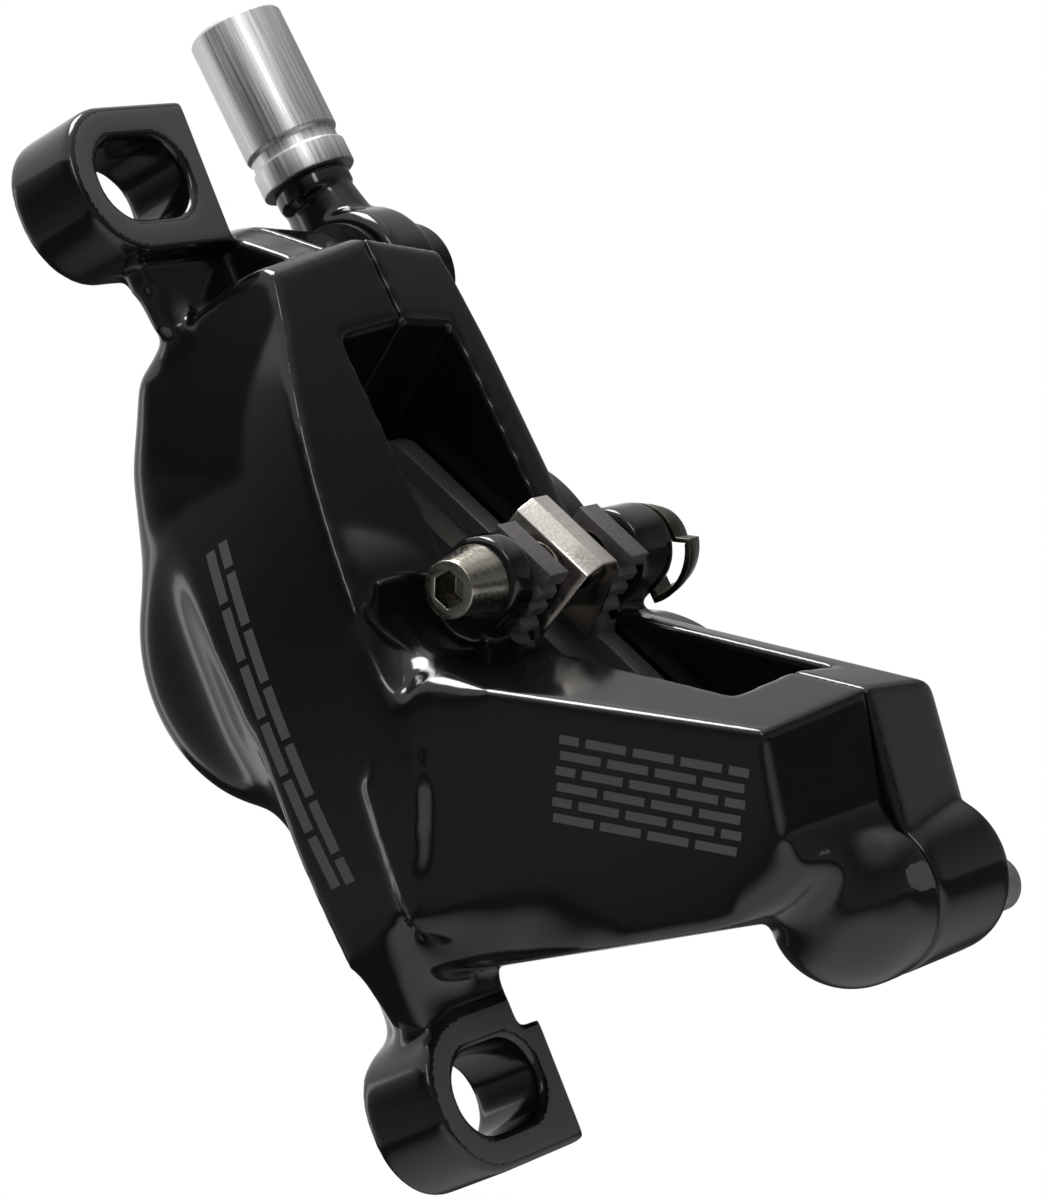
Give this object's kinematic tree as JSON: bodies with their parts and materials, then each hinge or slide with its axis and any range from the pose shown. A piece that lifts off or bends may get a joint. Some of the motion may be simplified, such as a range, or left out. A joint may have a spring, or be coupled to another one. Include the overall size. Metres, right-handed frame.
{
  "type": "bicycle disc brake caliper",
  "caption": "Post-mount hydraulic disc brake caliper for a bicycle, with opposed pistons, pads, retaining pin, hose banjo and bleed plug.",
  "frame": {"origin": "on the mount face, midway between the centres of the two ear slots", "axes": "+X along the mounting bolts, away from the frame or fork; +Y along the axle, from the outboard half with the ears to the inboard half; +Z from the lower ear to the upper one"},
  "size_m": [0.0511, 0.041, 0.0954],
  "materials": {
    "black_anodised": "gloss black anodised",
    "dark_steel": "black oxide",
    "seal_rubber": "matte",
    "spring_steel": "polished",
    "nickel_steel": "dark nickel plated",
    "silver_aluminium": "brushed",
    "grey_plug": "dark grey",
    "plate_steel": "satin",
    "friction_material": "rough",
    "piston_ceramic": "dull"
  },
  "bodies": {
    "caliper": {"outboard_body": "black_anodised", "inboard_body": "black_anodised", "body_bolt_upper": "dark_steel", "body_bolt_lower": "dark_steel", "crossover_seal": "seal_rubber", "pad_spring": "spring_steel", "banjo_bolt": "black_anodised", "banjo_washer_inner": "dark_steel", "banjo_washer_outer": "dark_steel", "seal_outboard_upper": "seal_rubber", "seal_outboard_lower": "seal_rubber", "seal_inboard_upper": "seal_rubber", "seal_inboard_lower": "seal_rubber"},
    "pad_outboard": {"backing_plate_outboard": "plate_steel", "friction_outboard": "friction_material"},
    "pad_inboard": {"backing_plate_inboard": "plate_steel", "friction_inboard": "friction_material"},
    "pin": {"pad_pin": "nickel_steel", "pin_clip": "nickel_steel"},
    "hose_end": {"banjo": "black_anodised", "hose_ferrule": "silver_aluminium"},
    "bleed": {"bleed_plug": "grey_plug"},
    "piston_outboard_upper": {"piston_outboard_upper": "piston_ceramic"},
    "piston_outboard_lower": {"piston_outboard_lower": "piston_ceramic"},
    "piston_inboard_upper": {"piston_inboard_upper": "piston_ceramic"},
    "piston_inboard_lower": {"piston_inboard_lower": "piston_ceramic"}
  },
  "joints": [
    {"name": "pad_outboard_slide", "type": "slide", "parent": "caliper", "child": "pad_outboard", "axis": [0, 1, 0], "range_m": [0, 0.0011], "stiffness_N_per_m": 800},
    {"name": "pad_inboard_slide", "type": "slide", "parent": "caliper", "child": "pad_inboard", "axis": [0, -1, 0], "range_m": [0, 0.0011], "deforming": ["pad_spring"]},
    {"name": "piston_outboard_upper_slide", "type": "slide", "parent": "caliper", "child": "piston_outboard_upper", "axis": [0, 1, 0], "range_m": [0, 0.0011]},
    {"name": "piston_outboard_lower_slide", "type": "slide", "parent": "caliper", "child": "piston_outboard_lower", "axis": [0, 1, 0], "range_m": [0, 0.0011]},
    {"name": "piston_inboard_upper_slide", "type": "slide", "parent": "caliper", "child": "piston_inboard_upper", "axis": [0, -1, 0], "range_m": [0, 0.0011]},
    {"name": "piston_inboard_lower_slide", "type": "slide", "parent": "caliper", "child": "piston_inboard_lower", "axis": [0, -1, 0], "range_m": [0, 0.0011]},
    {"name": "pin_turn", "type": "hinge", "parent": "caliper", "child": "pin", "pos_m": [0.0203, 0.012, -0.0021], "axis": [0, 1, 0], "continuous": true},
    {"name": "banjo_swivel", "type": "hinge", "parent": "caliper", "child": "hose_end", "pos_m": [0.003, 0.0263, 0.0276], "axis": [0, 1, 0], "range_deg": [-30, 30]},
    {"name": "bleed_turn", "type": "hinge", "parent": "caliper", "child": "bleed", "pos_m": [0.0359, 0.026, -0.0366], "axis": [0, 1, 0], "continuous": true}
  ],
  "couplings": [
    {"joint": "pad_inboard_slide", "follows": "pad_outboard_slide", "ratio": 1},
    {"joint": "piston_outboard_upper_slide", "follows": "pad_outboard_slide", "ratio": 1},
    {"joint": "piston_outboard_lower_slide", "follows": "pad_outboard_slide", "ratio": 1},
    {"joint": "piston_inboard_upper_slide", "follows": "pad_outboard_slide", "ratio": 1},
    {"joint": "piston_inboard_lower_slide", "follows": "pad_outboard_slide", "ratio": 1}
  ]
}
